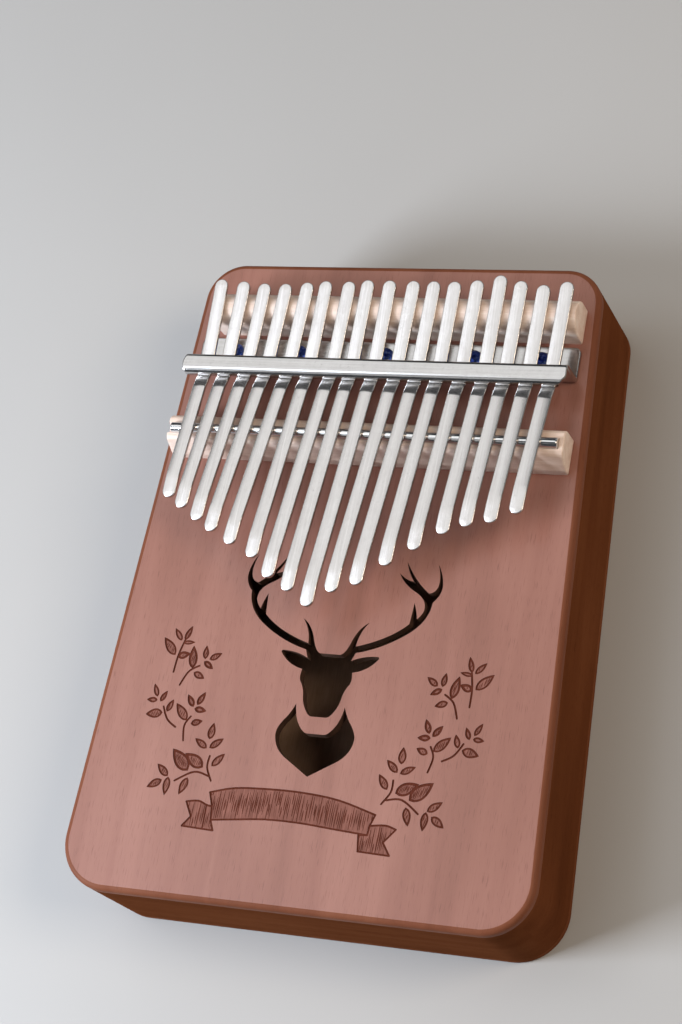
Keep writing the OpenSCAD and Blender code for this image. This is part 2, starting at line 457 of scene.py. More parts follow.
def mahogany(name, tones, pore, pores, relief, gloss, roughness, coat=0.0, along="Y"):
    """Lacquered mahogany with its grain along X or Y, in (dark, middle, light) tones."""
    paint = Paint(name, coat=coat, coat_roughness=0.28, gloss=gloss)

    def grain(across, lengthways):
        return (across, lengthways, across) if along == "Y" else (lengthways, across, across)

    bands = paint.noise(grain(0.11, 0.008), 3.0, 0.5, 0.6, 2.0)
    streaks = paint.noise(grain(0.7, 0.014), 4.0, 0.6, 0.3)
    fibres = paint.noise(grain(3.4, 0.11), 3.0, 0.6)
    clouds = paint.noise(grain(0.035, 0.016), 2.0, 0.5, 0.0, 5.0)
    body = paint.sum(paint.sum(paint.sum(bands, streaks, 0.3), clouds, 0.8), fibres, 0.10)
    base = paint.ramp(paint.spread(body, 0.66, 1.50), zip((0.0, 0.5, 1.0), tones))
    dashes = paint.noise(grain(5.5, 0.24), 1.0, 0.5, 0.0, 9.0)
    pits = paint.spread(dashes, 0.62, 0.74, 0.0, pores)
    paint.colour(paint.speck(base, pits, pore))
    paint.roughness(paint.spread(streaks, 0.3, 0.7, *roughness))
    paint.bump(paint.sum(paint.sum(fibres, streaks, 0.6), pits, -0.9), relief)
    return paint.material


# The face: the board's own pink-brown mahogany, its green and blue raised to carry part of the
# lacquer's pale sheen as a painted reflection.
FACE_WOOD_AND_SHEEN = mahogany(
    "soundboard mahogany and painted sheen",
    ((0.236, 0.094, 0.064), (0.302, 0.127, 0.091), (0.368, 0.166, 0.123)),
    pore=(0.150, 0.052, 0.033), pores=0.55, relief=0.008,
    gloss=0.2, roughness=(0.36, 0.5), coat=0.55,
)
EDGE_WOOD = mahogany(
    "soundboard edge mahogany",
    ((0.148, 0.046, 0.021), (0.192, 0.062, 0.030), (0.236, 0.084, 0.043)),
    pore=(0.085, 0.027, 0.013), pores=0.4, relief=0.008,
    gloss=0.12, roughness=(0.5, 0.62),
)
# The sides: the mahogany's own dark tone, held below the back's tone as painted shade on the box's
# sides.
SIDE_WOOD_AND_SHADE, END_WOOD_AND_SHADE = (
    mahogany(
        name,
        ((0.105, 0.032, 0.012), (0.150, 0.047, 0.018), (0.195, 0.066, 0.027)),
        pore=(0.050, 0.015, 0.007), pores=0.6, relief=0.008,
        gloss=0.0, roughness=(0.5, 0.62), along=along,
    )
    for name, along in (("long side mahogany and painted shade", "Y"), ("short side mahogany and painted shade", "X"))
)
BACK_WOOD = mahogany(
    "back mahogany",
    ((0.140, 0.045, 0.020), (0.190, 0.064, 0.028), (0.240, 0.088, 0.041)),
    pore=(0.075, 0.024, 0.011), pores=0.6, relief=0.01,
    gloss=0.0, roughness=(0.46, 0.58),
)


def burnt(name, dark, light, roughness, gloss=0.2):
    """Wood scorched by the engraving beam, a little uneven along its grain."""
    paint = Paint(name, roughness=roughness, gloss=gloss)
    fibres = paint.noise((2.4, 0.14, 2.4), 3.0, 0.6)
    clouds = paint.noise((0.5, 0.3, 0.5), 2.0, 0.5, 0.0, 3.0)
    shade = paint.spread(paint.sum(fibres, clouds, 0.6), 0.55, 1.05)
    paint.colour(paint.ramp(shade, ((0.0, dark), (1.0, light))))
    paint.bump(fibres, 0.06)
    return paint.material


LINE_BURN = burnt("engraved line", (0.080, 0.019, 0.010), (0.130, 0.035, 0.021), 0.7, 0.05)
HATCH_BURN = burnt("engraved hatching", (0.092, 0.024, 0.013), (0.150, 0.044, 0.028), 0.65, 0.05)
FILL_BURN = burnt("engraved ground", (0.160, 0.060, 0.043), (0.290, 0.122, 0.092), 0.6, 0.1)
HOLE_BURN = burnt("cut edge", (0.050, 0.025, 0.016), (0.105, 0.055, 0.035), 0.75)
INSIDE = burnt("inside of the box", (0.400, 0.250, 0.165), (0.500, 0.325, 0.225), 0.85)


def maple_paint():
    """Sanded maple with its grain along X."""
    paint = Paint("maple", coat=0.15, coat_roughness=0.35)
    bands = paint.noise((0.02, 0.35, 0.35), 3.0, 0.5, 0.5)
    fibres = paint.noise((0.14, 2.6, 2.6), 4.0, 0.6)
    flecks = paint.noise((0.5, 3.5, 3.5), 1.5, 0.5, 0.0, 4.0)
    body = paint.sum(bands, fibres, 0.5)
    base = paint.ramp(
        paint.spread(body, 0.55, 1.0),
        ((0.0, (0.75, 0.56, 0.45)), (0.5, (0.87, 0.68, 0.57)), (1.0, (0.94, 0.80, 0.70))),
    )
    flecks = paint.spread(flecks, 0.64, 0.76, 0.0, 0.35)
    paint.colour(paint.speck(base, flecks, (0.46, 0.28, 0.18)))
    paint.roughness(paint.spread(fibres, 0.3, 0.7, 0.42, 0.58))
    paint.bump(fibres, 0.03)
    return paint.material


MAPLE = maple_paint()


def plated(name, dark, light, roughness, streaks, relief):
    """Plated steel: lengthwise streaks, soft mottling and small dull spots."""
    paint = Paint(name, metallic=1.0)
    streaks = paint.noise(streaks, 4.0, 0.6)
    mottling = paint.noise((0.45, 0.3, 0.45), 3.0, 0.6, 0.4, 2.0)
    spots = paint.noise((1.6, 1.2, 1.6), 2.0, 0.5, 0.0, 7.0)
    tone = paint.sum(streaks, mottling, 0.5)
    base = paint.ramp(paint.spread(tone, 0.45, 1.05), ((0.0, dark), (1.0, light)))
    dull = paint.spread(spots, 0.66, 0.78, 0.0, 0.35)
    paint.colour(paint.speck(base, dull, [c * 0.72 for c in dark]))
    gloss = paint.sum(streaks, mottling, 0.7)
    paint.roughness(paint.spread(gloss, 0.5, 1.2, *roughness))
    paint.bump(tone, relief)
    return paint.material


TINE_STEEL = plated(
    "satin nickel", (0.565, 0.540, 0.525), (0.72, 0.70, 0.685),
    roughness=(0.20, 0.27), streaks=(2.6, 0.06, 0.4), relief=0.0003,
)
BRACKET_METAL = plated(
    "polished nickel", (0.49, 0.48, 0.47), (0.60, 0.59, 0.58),
    roughness=(0.12, 0.20), streaks=(0.05, 1.8, 1.8), relief=0.002,
)
ROD_STEEL = plated(
    "rod steel", (0.62, 0.62, 0.62), (0.78, 0.78, 0.78),
    roughness=(0.10, 0.20), streaks=(0.05, 2.2, 2.2), relief=0.003,
)


def zinc_paint():
    """Blue zinc plate, from violet blue to a paler grey blue."""
    paint = Paint("blue zinc", metallic=1.0)
    clouds = paint.noise((0.9, 0.9, 0.9), 3.0, 0.6)
    grit = paint.noise((6.0, 6.0, 6.0), 2.0, 0.5, 0.0, 3.0)
    paint.colour(paint.ramp(
        paint.spread(paint.sum(clouds, grit, 0.3), 0.4, 0.9),
        ((0.0, (0.020, 0.035, 0.26)), (0.6, (0.06, 0.12, 0.50)), (1.0, (0.35, 0.45, 0.70))),
    ))
    paint.roughness(paint.spread(grit, 0.3, 0.7, 0.18, 0.36))
    paint.bump(grit, 0.01)
    return paint.material


ZINC = zinc_paint()


# ---------------- engraving
# The artwork is symmetric and was engraved turned a little clockwise.
ART_CENTRE = Vector((-0.5, 0.0))
ART_TURN = Matrix.Rotation(math.radians(-2.0), 2)
ART_SHIFT = 0.4
STROKE = 0.52
STEM = 0.56
HATCH_W = 0.26
LEAF_GAP, DARK_GAP = 0.56, 0.42
LEAF_SLANT = Vector((0.25, 1.0))
LEAF_STEPS = 9
GROUPS = []  # one entry for each engraved shape: its loops by kind


def art(x, y):
    """A point of the artwork as it lies on the board, on the player's right."""
    return Vector((x + ART_SHIFT, y))


def arts(*points):
    return [art(*point) for point in points]


def mirrored(point):
    """The same point of the artwork on the player's left."""
    upright = ART_TURN.transposed() @ (point - ART_CENTRE)
    return ART_CENTRE + ART_TURN @ Vector((-upright.x, upright.y))


def smooth_path(points, steps):
    """A curve through the points."""
    points = [Vector(p) for p in points]
    path = [points[0]]
    for i in range(len(points) - 1):
        before = points[max(i - 1, 0)]
        after = points[min(i + 2, len(points) - 1)]
        a, b = points[i], points[i + 1]
        for k in range(1, steps + 1):
            t = k / steps
            path.append(0.5 * (
                2 * a + (b - before) * t
                + (2 * before - 5 * a + 4 * b - after) * t * t
                + (3 * a - before - 3 * b + after) * t ** 3
            ))
    return path


def stroke_loop(path, width, ends=(1.0, 1.0)):
    """The outline of a drawn line, with its width at each end as a share of the middle's."""
    left, right = [], []
    last = len(path) - 1
    for i, here in enumerate(path):
        way = (path[min(i + 1, last)] - path[max(i - 1, 0)]).normalized()
        side = Vector((-way.y, way.x))
        t = i / last
        share = min(1.0, ends[0] + 4 * t, ends[1] + 4 * (1 - t))
        left.append(here + side * width / 2 * share)
        right.append(here - side * width / 2 * share)
    return left + right[::-1]


def leaf_loop(base, tip, width, trim):
    """A pointed leaf from its base to its tip, drawn in by trim."""
    way = tip - base
    length = way.length
    way.normalize()
    side = Vector((-way.y, way.x))
    start, end = trim * 1.3, length - trim * 2.0
    left, right = [], []
    for i in range(LEAF_STEPS + 1):
        u = i / LEAF_STEPS
        along = start + (end - start) * u
        half = 0
        if 0 < i < LEAF_STEPS:
            half = (width / 2 - trim) * math.sin(math.pi * u ** 0.8) ** 0.85
        left.append(base + way * along + side * half)
        right.append(base + way * along - side * half)
    return left + right[-2:0:-1]


def crossings(loop, origin, way):
    """How far along a line it enters and leaves a loop, or nothing if it misses."""
    found = []
    side = Vector((-way.y, way.x))
    for i, b in enumerate(loop):
        a = loop[i - 1]
        da, db = (a - origin).dot(side), (b - origin).dot(side)
        if (da > 0) != (db > 0):
            point = a + (b - a) * (da / (da - db))
            found.append((point - origin).dot(way))
    return (min(found), max(found)) if len(found) > 1 else None


def hatching(loop, way, gap, width, draw, shortest=0.55):
    """Uneven parallel strokes across a loop."""
    way = way.normalized()
    side = Vector((way.y, -way.x))
    reach = [p.dot(side) for p in loop]
    at = min(reach) + gap * draw.uniform(0.4, 0.9)
    strokes = []
    while at < max(reach) - gap * 0.3:
        span = crossings(loop, side * at, way)
        if span and span[1] - span[0] > 0.8:
            low, high = span
            length = (high - low) * draw.uniform(shortest, 1.0)
            low += (high - low - length) * draw.random()
            bend = side * draw.uniform(-0.12, 0.12)
            path = [
                side * at + way * low,
                side * at + way * (low + length / 2) + bend,
                side * at + way * (low + length),
            ]
            strokes.append(stroke_loop(path, width * draw.uniform(0.7, 1.5), (0.35, 0.35)))
        at += gap * draw.uniform(0.7, 1.4)
    return strokes


def add_leaf(base, tip, width, dark, draw):
    trim = min(STROKE * (1.25 if dark else 1.0), width * 0.36)
    inner = leaf_loop(base, tip, width, trim)
    GROUPS.append({
        "outer": [leaf_loop(base, tip, width, 0.0)],
        "inner": [inner],
        "hatch": hatching(inner, LEAF_SLANT, DARK_GAP if dark else LEAF_GAP, HATCH_W, draw),
    })


# Each sprig: its stem's points, then its leaves as base, tip, width, dark
SPRIGS = (
    (((41, -34), (40.9, -29), (40, -24)), (
        ((40.2, -24.5), (38.9, -20.1), 1.7, True), ((41, -24.7), (43.9, -21.5), 1.7, False),
        ((40.5, -25.2), (36.9, -24.6), 1.3, True), ((41.8, -29), (46.4, -24.5), 2.7, False),
        ((41.1, -29.3), (37.4, -27.9), 2.2, True),
    )),
    (((38.2, -37.3), (36.5, -33), (33.6, -30.8)), (
        ((35.7, -32), (37.0, -25.6), 2.7, True), ((31.4, -28.8), (28.1, -26.5), 1.9, False),
        ((32.7, -28.9), (33.2, -25), 1.8, False), ((32.8, -29.5), (29.6, -31.3), 1.8, True),
        ((35, -33), (31.4, -34.3), 2.0, False),
    )),
    (((32.6, -52.3), (33.5, -48), (32.2, -45)), (
        ((33.2, -46.5), (37.5, -42.2), 2.7, False), ((31.4, -41.8), (29.8, -37.9), 1.9, True),
        ((32.3, -42.5), (34.8, -39.3), 1.9, True), ((31.9, -42.9), (28.2, -43.1), 1.9, True),
        ((31.8, -47.2), (28.5, -45.9), 2.0, False),
    )),
    (((35.8, -48.9), (39, -47), (41.2, -43.5)), (
        ((40.9, -45.4), (45.8, -46.6), 2.7, False), ((39.8, -45), (38.6, -41.3), 1.8, False),
        ((42.5, -42.5), (41.1, -39.2), 1.6, True), ((43.6, -41.3), (45.5, -37.8), 1.6, False),
        ((43.4, -42.2), (46.6, -42.5), 1.6, False),
    )),
    (((21.4, -61.8), (23.6, -58.2), (23.7, -54.8)), (
        ((25.1, -50.6), (25, -45.9), 2.3, False), ((24.5, -52.9), (21, -49.7), 2.1, False),
        ((25.2, -53.1), (29.3, -50.9), 2.0, False), ((22.5, -57.7), (19.5, -53.7), 2.2, False),
        ((24.8, -58.4), (31.0, -55.4), 3.5, True), ((28.9, -60), (34.9, -54.7), 4.0, True),
    )),
    (((22.5, -60.5), (27, -60), (32.2, -63.4)), (
        ((28.4, -61.8), (29.8, -66.8), 2.3, False), ((34.3, -62.4), (38.2, -59.5), 2.2, False),
        ((34.1, -62.5), (33.9, -67.7), 2.2, False), ((35.7, -63.6), (39.6, -66.3), 2.3, False),
    )),
)


def add_sprigs(draw):
    for stem, leaves in SPRIGS:
        for side in (lambda p: p, mirrored):
            path = smooth_path([side(p) for p in arts(*stem)], 6)
            GROUPS.append({"line": [stroke_loop(path, STEM, (0.8, 0.8))]})
            for base, tip, width, dark in leaves:
                add_leaf(side(art(*base)), side(art(*tip)), width, dark, draw)


def add_ribbon(draw):
    """The ribbon under the stag, plainly hatched."""
    top = smooth_path(arts(
        (-27.1, -63.0), (-20, -61.2), (-10, -60.6), (0, -60.7), (10, -61.8), (20.5, -64.6),
    ), 5)
    low = smooth_path(arts(
        (19.2, -70.1), (10, -69.5), (0, -68.8), (-10, -68.8), (-20, -69.8), (-25.4, -70.4),
    ), 5)
    band = top + arts((19.5, -67.6)) + low + arts((-25.8, -66.7))
    left_tail = smooth_path(arts(
        (-33.4, -66.1), (-30, -65.6), (-27.4, -66.5), (-25.8, -66.7),
    ), 4) + arts((-25.4, -70.4), (-24.2, -73.2), (-33.4, -72.8), (-31.3, -70.0))
    right_tail = smooth_path(arts((19.5, -67.6), (23.7, -67.1), (26.8, -67.9)), 4)
    right_tail += arts((23.9, -71.6), (26.2, -74.9), (17.4, -74.6), (16.8, -70.3), (19.2, -70.1))
    upright = Vector((0.03, 1.0))
    drawn = set()
    for loop, gap in ((band, 0.55), (left_tail, 0.6), (right_tail, 0.6)):
        hatch = hatching(loop, upright, gap, 0.3, draw, 0.3)
        GROUPS.append({"outer": [], "inner": [loop], "hatch": hatch})
        for i, b in enumerate(loop):
            a = loop[i - 1]
            edge = frozenset((round(p.x, 2), round(p.y, 2)) for p in (a, b))
            if (b - a).length > 0.05 and edge not in drawn:
                drawn.add(edge)
                way = (b - a).normalized() * STROKE * 0.3
                GROUPS.append({"line": [stroke_loop([a - way, b + way], STROKE)]})
    fold = arts((-27.4, -66.5), (-27.4, -72.8))
    GROUPS.append({"line": [stroke_loop(fold, STROKE * 0.8)]})


# ---------------- soundboard
# The levels of the board's top are the numbers of their materials too.
TOP, FILL, HATCH, LINE, CUT, EDGE, UNDER = range(7)
LEVEL_Z = (FACE_Z, FACE_Z - FILL_DEPTH, FACE_Z - HATCH_DEPTH, FACE_Z - LINE_DEPTH)
BOARD_MATERIALS = (FACE_WOOD_AND_SHEEN, FILL_BURN, HATCH_BURN, LINE_BURN, HOLE_BURN, EDGE_WOOD, INSIDE)


def engraved_level(kinds):
    """How deep a spot is engraved, from the (group, kind) shapes that cover it."""
    level = TOP
    for group in {number for number, _ in kinds}:
        here = {kind for number, kind in kinds if number == group}
        if "line" in here:
            return LINE
        if "inner" in here:
            level = max(level, HATCH if "hatch" in here else FILL)
        elif "outer" in here:
            level = LINE
    return level


def round_edge(radius, face_z, way):
    """The (inset, height) steps round the edge of the box's top (way 1) or back (way -1)."""
    return [
        (radius * (1 - fall), face_z + way * radius * (rise - 1))
        for rise, fall in quarter(ROUND_STEPS, 1)
    ]


def soundboard():
    draw = random.Random(11)
    add_sprigs(draw)
    add_ribbon(draw)
    holes = [HEAD_HOLE, CHEST_HOLE, *(circle((x, SCREW_Y), PILOT_R, 16) for x in SCREW_X)]
    shell = Shell()
    rings = shell.outlines([
        (SEAM, BOARD_LO.z), (0, BOARD_LO.z + SEAM), (0, FACE_Z - FACE_ROUND),
        *round_edge(FACE_ROUND, FACE_Z, 1),
    ])
    shell.loft(rings, EDGE)
    flat_outline = box_outline(FACE_ROUND + FLAT_MARGIN)
    flat_ring = shell.level(flat_outline, FACE_Z)
    shell.skin(rings[-1], flat_ring, TOP)

    # Every outline on the board cuts its face into triangles that know what covers them
    loops = [("board", -1, flat_outline)]
    loops += [("hole", -1, hole) for hole in holes]
    for number, group in enumerate(GROUPS):
        for kind, shapes in group.items():
            loops += [(kind, number, anticlockwise(shape)) for shape in shapes]
    flat, faces = [], []
    for _, _, loop in loops:
        faces.append(list(range(len(flat), len(flat) + len(loop))))
        flat += [Vector(p) for p in loop]
    spots, _, triangles, sources, _, origins = delaunay_2d_cdt(flat, [], faces, 1, 1e-4, True)
    spot_of = {original: i for i, source in enumerate(sources) for original in source}
    point_at = {(spot_of[k], TOP): point for k, point in enumerate(flat_ring)}

    def corner(i, level):
        """The point at spot i on one of the engraving's levels, or on the board's underside."""
        if (i, level) not in point_at:
            z = BOARD_LO.z if level == UNDER else LEVEL_Z[level]
            point_at[i, level] = len(shell.points)
            shell.points.append((spots[i].x, spots[i].y, z))
        return point_at[i, level]

    sides = {}
    levels_at = {}
    for triangle, origin in zip(triangles, origins):
        kinds = {(loops[o][1], loops[o][0]) for o in origin}
        if (-1, "board") not in kinds:
            continue
        level = CUT
        if (-1, "hole") not in kinds:
            level = engraved_level({k for k in kinds if k[0] >= 0})
            shell.face([corner(i, level) for i in triangle], level)
            for i in triangle:
                levels_at.setdefault(i, set()).add(level)
        for i, a in enumerate(triangle):
            b = triangle[(i + 1) % 3]
            sides.setdefault((min(a, b), max(a, b)), []).append(level)
    hole_edges = []
    for (a, b), pair in sides.items():
        if len(pair) < 2 or pair[0] == pair[1]:
            continue
        high, low = min(pair), max(pair)
        if low == CUT:
            hole_edges.append((a, b, high))
            continue
        between = range(high + 1, low)
        down_b = [corner(b, level) for level in between if level in levels_at[b]]
        up_a = [corner(a, level) for level in reversed(between) if level in levels_at[a]]
        wall = [corner(a, high), corner(b, high), *down_b, corner(b, low), corner(a, low), *up_a]
        shell.face(wall, LINE)
    for a, b, level in hole_edges:
        shell.face([corner(a, level), corner(b, level), corner(b, UNDER), corner(a, UNDER)], CUT)

    under_holes = []
    start = len(flat_outline)
    for hole in holes:
        under_holes.append([corner(spot_of[start + k], UNDER) for k in range(len(hole))])
        start += len(hole)
    shell.sheet(rings[0], under_holes, UNDER)
    show(shell.made("soundboard_wood", BOARD_MATERIALS), "soundboard")


# ---------------- rim and back
OUTER, INNER, OTHER = range(3)  # material numbers; OTHER: the rim's short walls, the back's holes


def side_rim():
    shell = Shell()
    low, high = RIM_LO.z, RIM_HI.z
    outer = shell.outlines((
        (SEAM, low), (0, low + SEAM), (0, low + 1), (0, high - 1), (0, high - SEAM), (SEAM, high),
    ))
    inner = shell.outlines((
        (WALL_T, high), (WALL_T, high - 1), (WALL_T, low + 1), (WALL_T, low),
    ))
    shell.loft(outer, OUTER)
    for i, face in enumerate(shell.faces):
        a, b = (Vector(shell.points[corner]) for corner in face[:2])
        if abs(b.x - a.x) > abs(b.y - a.y):
            shell.slots[i] = OTHER
    shell.loft([outer[-1], *inner, outer[0]], INNER)
    show(shell.made("side_rim_wood", (SIDE_WOOD_AND_SHADE, INSIDE, END_WOOD_AND_SHADE)), "side_rim")


def back_plate():
    shell = Shell()
    top = RIM_LO.z
    rings = shell.outlines([
        (SEAM, top), (0, top - SEAM), (0, BACK_ROUND), *round_edge(BACK_ROUND, 0, -1),
        (BACK_ROUND + FLAT_MARGIN, 0),
    ])
    shell.loft(rings, OUTER)
    chamfer = 0.8
    above, below = [], []
    for centre in VIBRATO_XY:
        stack = [
            shell.level(circle(centre, VIBRATO_R + wider, 72), z) for wider, z in
            ((0, top), (0, chamfer), (0.25, chamfer * 0.3), (chamfer, 0))
        ]
        shell.loft(stack, OTHER)
        above.append(stack[0])
        below.append(stack[-1])
    shell.sheet(rings[0], above, INNER)
    shell.sheet(rings[-1], below, OUTER)
    show(shell.made("back_plate_wood", (BACK_WOOD, INSIDE, SIDE_WOOD_AND_SHADE)), "back_plate")


# ---------------- bridges, rod
def bar(profile, x_ends, edge):
    """A profile of (y, z) points run along X, its end edges rounded off by edge."""
    shell = Shell()
    rings = []
    for side, x_end in zip((-1, 1), x_ends):
        stations = [
            (x_end - side * edge * (1 - rise), shrink(profile, edge * (1 - fall)))
            for rise, fall in quarter(4)
        ]
        if side < 0:
            stations.reverse()
        rings += [shell.section(x, loop) for x, loop in stations]
    shell.solid(rings)
    return shell


def rear_bridge():
    lo, hi = REAR_LO, REAR_HI
    top_r = (hi.y - lo.y) / 2
    profile = [(lo.y, lo.z), (hi.y, lo.z)] + arc((REAR_Y, hi.z - top_r), top_r, 0, 180, 24)
    bridge = bar(profile, (lo.x, hi.x), 0.5).made("rear_bridge_maple", (MAPLE,), 40)
    show(bridge, "rear_bridge")


def front_bridge():
    """The front bridge: a foot, a sloping front and two lobes beside the rod's groove.

    The groove is open at the player's left and stops at the rod's right end.
    """
    lo, hi = box_mm("front_bridge")
    crown = hi.z - 0.05
    edge = 0.55
    groove = arc((ROD_Y, ROD_Z), ROD_R + 0.04, -8, -172, 14)
    (groove_rear, _), (groove_front, _) = groove[0], groove[-1]
    rear = rounded(
        [
            (lo.y, lo.z), (hi.y, lo.z), (hi.y, hi.z - 1.5), (hi.y - 1.2, crown),
            (groove_rear + 0.1, crown), groove[0],
        ],
        (0, 0, 0.8, 0.8, 0.35, 0), 4,
    )[:-1]
    front = rounded(
        [
            groove[-1], (groove_front - 0.1, crown), (ROD_Y - 2.4, hi.z - 0.1),
            (ROD_Y - 3.4, hi.z - 0.8), (lo.y, lo.z + 2.6), (lo.y, lo.z),
        ],
        (0, 0.3, 0.5, 0.6, 0.7, 0), 4,
    )[1:-1]

    def profile(share):
        """The profile with the groove at a share of its full depth."""
        return rear + [(y, crown + (z - crown) * share) for y, z in groove] + front

    stop = ROD_HI.x - ROD_R + 0.1
    stations = [
        (lo.x + edge * (1 - fall), shrink(profile(1.0), edge * (1 - rise)))
        for rise, fall in quarter(4)
    ]
    stations += [(stop + ROD_R * rise, profile(fall)) for rise, fall in quarter(8)]
    stations += [
        (hi.x - edge * (1 - rise), shrink(profile(0.0), edge * (1 - fall)))
        for rise, fall in quarter(4)
    ]
    shell = Shell()
    shell.solid([shell.section(x, loop) for x, loop in stations])
    show(shell.made("front_bridge_maple", (MAPLE,), 40), "front_bridge")


def saddle_rod():
    profile = circle((ROD_Y, ROD_Z), ROD_R, 40)
    rod = bar(profile, (ROD_LO.x, ROD_HI.x), 0.35).made("saddle_rod_steel", (ROD_STEEL,), 40)
    show(rod, "saddle_rod")


# ---------------- tines
def tine_ends(name):
    """Centres of a tine's two round ends, seen from above. Every tine leans right."""
    lo, hi = box_mm(name)
    r = TINE_W / 2
    return Vector((lo.x + r, lo.y + r)), Vector((hi.x - r, hi.y - r))


def tine_corners(tip_y):
    """Corners of a tine's underside as (y, z, half length of the bend)."""
    rod_contact = ROD_Z + ROD_R / math.cos(math.atan(TINE_SLOPE))

    def playing(y):
        """The underside's height on the straight length that lies on the rod."""
        return rod_contact + (ROD_Y - y) * TINE_SLOPE

    bend_y = tip_y + TIP_BEND
    grip_y = LIP_FRONT + GRIP_BACK
    grip_z = LIP_LOW - TINE_T
    rise = (REAR_HI.z - grip_z) / (REAR_Y - grip_y)
    return [
        (tip_y - 5, playing(bend_y) + (TIP_BEND + 5) * TIP_SLOPE, 0),
        (bend_y, playing(bend_y), 1.6),
        (CREASE_Y, playing(CREASE_Y), 0.45),
        (grip_y, grip_z, 1.1),
        (REAR_Y + 20, REAR_HI.z + 20 * rise, 0),
    ]


def height_at(corners, y):
    """A bent line's height at y, with its corners drawn round."""
    slopes = [(b[1] - a[1]) / (b[0] - a[0]) for a, b in zip(corners, corners[1:])]
    for i in range(1, len(corners) - 1):
        corner_y, corner_z, half = corners[i]
        if abs(y - corner_y) < half:
            t = y - (corner_y - half)
            start = corner_z - slopes[i - 1] * half
            return start + slopes[i - 1] * t + (slopes[i] - slopes[i - 1]) * t * t / (4 * half)
    for i, (a, b) in enumerate(zip(corners, corners[1:])):
        if y <= b[0]:
            return a[1] + slopes[i] * (y - a[0])
    return corners[-1][1]


def tine(name):
    """A tine: a strip with round ends, bent to lie on the rod, the lip and the rear bridge."""
    tip, back = tine_ends(name)
    way = back - tip
    run = way.length
    way.normalize()
    side = Vector((way.y, -way.x))
    r = TINE_W / 2
    edge = TINE_EDGE
    corners = tine_corners(tip.y - r)

    bends = [
        (corner_y + half * k / BEND_STEPS - tip.y) / way.y
        for corner_y, _, half in corners[1:-1] for k in range(-BEND_STEPS, BEND_STEPS + 1)
    ]
    marks = sorted({0.0, round(run, 3), *(round(s, 3) for s in bends if 0.2 < s < run - 0.2)})
    stations = [marks[0]]
    for mark in marks[1:]:
        before = stations[-1]
        parts = max(1, round((mark - before) / TINE_QUAD))
        stations += [before + (mark - before) * k / parts for k in range(1, parts + 1)]

    def stadium(inset):
        """Distances along and to either side of the tine's middle line, from its tip back."""
        radius = r - inset
        pairs = [(-radius * fall, radius * rise) for rise, fall in quarter(TINE_END_STEPS)[:-1]]
        pairs += [(s, radius) for s in stations]
        return pairs + [
            (run + radius * rise, radius * fall) for rise, fall in quarter(TINE_END_STEPS, 1)
        ]

    def lifted(inset, lift):
        """The strip's left and right edges at a height above its underside."""
        left, right = [], []
        for s, half in stadium(inset):
            for store, sign in ((left, -1), (right, 1)):
                spot = tip + way * s + side * half * sign
                store.append((spot.x, spot.y, height_at(corners, spot.y) + lift))
        return left, right

    shell = Shell()
    rings = []
    for inset, lift in (
        (edge, 0.0), (edge * 0.3, edge * 0.3), (0, edge),
        (0, TINE_T - edge), (edge * 0.12, TINE_T - edge * 0.5),
        (edge * 0.5, TINE_T - edge * 0.12), (edge, TINE_T),
    ):
        left, right = lifted(inset, lift)
        rings.append(shell.ring(left + right[-2:0:-1]))
    shell.loft(rings)
    half_count = len(stadium(0))
    for ring in (rings[0], rings[-1]):
        left = ring[:half_count]
        right = [ring[0], *reversed(ring[half_count:]), ring[half_count - 1]]
        for i in range(half_count - 1):
            quad = [left[i], left[i + 1], right[i + 1], right[i]]
            shell.face(dict.fromkeys(quad))
    reed = shell.made(f"{name}_steel", (TINE_STEEL,), 50)
    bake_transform(reed)
    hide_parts(name)


# ---------------- bracket
def bracket_path():
    """The bracket's middle line as (y, z) points, from its base's rear edge to the lip's front."""
    half = SHEET_T / 2
    base_z = BRACKET_LO.z + half
    lip_z = BRACKET_HI.z - half
    front_y = LIP_FRONT + half
    bend, rear_bend = SHEET_BEND_R, LIP_REAR_BEND_R
    steps = 5
    line = [(BRACKET_HI.y - BASE_CORNER_R * (1 - fall), base_z) for _, fall in quarter(3)]
    line += arc((WEB_Y + bend, base_z + bend), bend, 270, 180, steps)
    line += [(WEB_Y, WINDOW_LOW), (WEB_Y, lip_z - bend)]
    line += arc((WEB_Y - rear_bend, lip_z - rear_bend), rear_bend, 0, 90, steps)
    flat_rear, flat_front = WEB_Y - rear_bend, front_y + bend
    line += [(flat_rear + (flat_front - flat_rear) * k / 6, lip_z) for k in range(1, 6)]
    line += arc((front_y + bend, lip_z - bend), bend, 90, 180, steps)
    return line + [(front_y, LIP_LOW)]


def corner_inset(reach, radius):
    """How far an edge is drawn in near a rounded corner, from the distance to its end."""
    short = max(0.0, radius - reach)
    return radius - math.sqrt(max(0.0, radius ** 2 - short ** 2))


